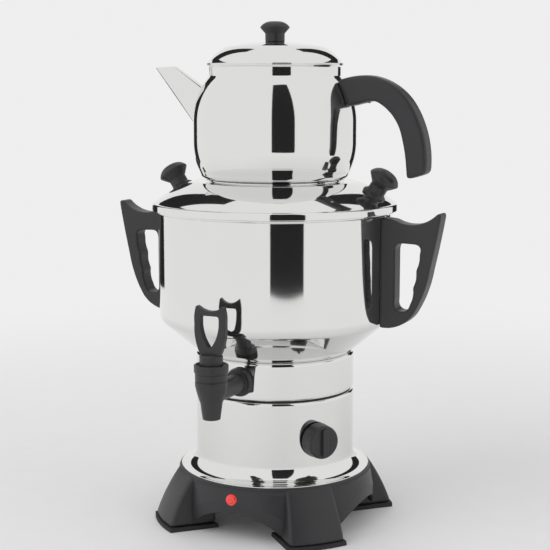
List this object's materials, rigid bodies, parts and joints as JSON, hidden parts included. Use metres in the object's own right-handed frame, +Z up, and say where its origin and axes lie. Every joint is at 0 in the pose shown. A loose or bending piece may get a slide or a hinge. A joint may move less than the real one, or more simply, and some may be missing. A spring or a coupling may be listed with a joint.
{
  "type": "samovar",
  "caption": "Two-tier electric samovar: steel urn on a black footed base with a front tap, side handles and a thermostat dial, and a lidded teapot resting on the urn lid.",
  "frame": {"origin": "on the floor, on the vertical axis of the urn", "axes": "+Z up the urn's axis, -Y to the front where the tap is, +X to the side of the teapot's handle"},
  "size_m": [0.341, 0.2675, 0.4805],
  "materials": {
    "polished_steel": "mirror-polished stainless steel",
    "plain_steel": "plain zinc-plated steel",
    "aluminium": "cast aluminium",
    "brass": "plain brass",
    "black_plastic": "black moulded plastic with a soft sheen",
    "rubber": "matt black rubber",
    "nut_plastic": "matt dark plastic",
    "block_plastic": "matt pale plastic",
    "lamp_lens": "clear red plastic"
  },
  "bodies": {
    "urn": {"base_housing": "black_plastic", "foot_pads": "rubber", "bottom_plate": "plain_steel", "bottom_plate_screws": "plain_steel", "pilot_lamp_lens": "lamp_lens", "pilot_lamp_body": "nut_plastic", "skirt_shell": "polished_steel", "neck_seal": "rubber", "neck_cup": "polished_steel", "urn_tank": "polished_steel", "handle_right": "black_plastic", "handle_left": "black_plastic", "handle_brackets": "plain_steel", "handle_screws": "plain_steel", "tap_body": "black_plastic", "tap_gasket_outer": "rubber", "tap_gasket_inner": "rubber", "tap_lock_nut": "nut_plastic", "tap_bonnet": "black_plastic", "tap_washer": "rubber", "thermostat_body": "plain_steel", "thermostat_nut": "brass", "inlet_housing": "black_plastic", "inlet_pins": "brass", "inlet_screws": "plain_steel", "heater_plate": "aluminium", "heater_tube": "plain_steel", "heater_clamp": "plain_steel", "clamp_nut": "plain_steel", "tie_rod": "plain_steel", "tie_rod_nut": "plain_steel", "thermal_cutout": "plain_steel", "terminal_block": "block_plastic"},
    "tap_key": {"tap_key": "black_plastic"},
    "thermostat_dial": {"thermostat_shaft": "plain_steel", "thermostat_knob": "black_plastic"},
    "urn_lid": {"urn_lid": "polished_steel", "urn_lid_collar": "polished_steel", "urn_lid_knob_right": "black_plastic", "urn_lid_knob_left": "black_plastic", "urn_lid_knob_screws": "plain_steel"},
    "teapot": {"teapot_base_disc": "polished_steel", "teapot_shell": "polished_steel", "teapot_spout": "polished_steel", "teapot_handle": "black_plastic", "teapot_handle_bracket": "plain_steel", "teapot_handle_screw": "plain_steel"},
    "teapot_lid": {"teapot_lid": "polished_steel", "teapot_lid_collar": "polished_steel", "teapot_lid_knob": "black_plastic", "teapot_lid_screw": "plain_steel"}
  },
  "joints": [
    {"name": "urn_lid_lift", "type": "slide", "parent": "urn", "child": "urn_lid", "axis": [0, 0, 1], "range_m": [0, 0.12]},
    {"name": "teapot_lift", "type": "slide", "parent": "urn_lid", "child": "teapot", "axis": [0, 0, 1], "range_m": [0, 0.12]},
    {"name": "teapot_lid_lift", "type": "slide", "parent": "teapot", "child": "teapot_lid", "axis": [0, 0, 1], "range_m": [0, 0.06]},
    {"name": "tap_key_turn", "type": "hinge", "parent": "urn", "child": "tap_key", "pos_m": [0, -0.134, 0.15], "axis": [0, 0, 1], "range_deg": [0, 90]},
    {"name": "thermostat_turn", "type": "hinge", "parent": "urn", "child": "thermostat_dial", "pos_m": [0, 0, 0.092], "axis": [0.8192, -0.5736, 0], "range_deg": [0, 270]}
  ]
}
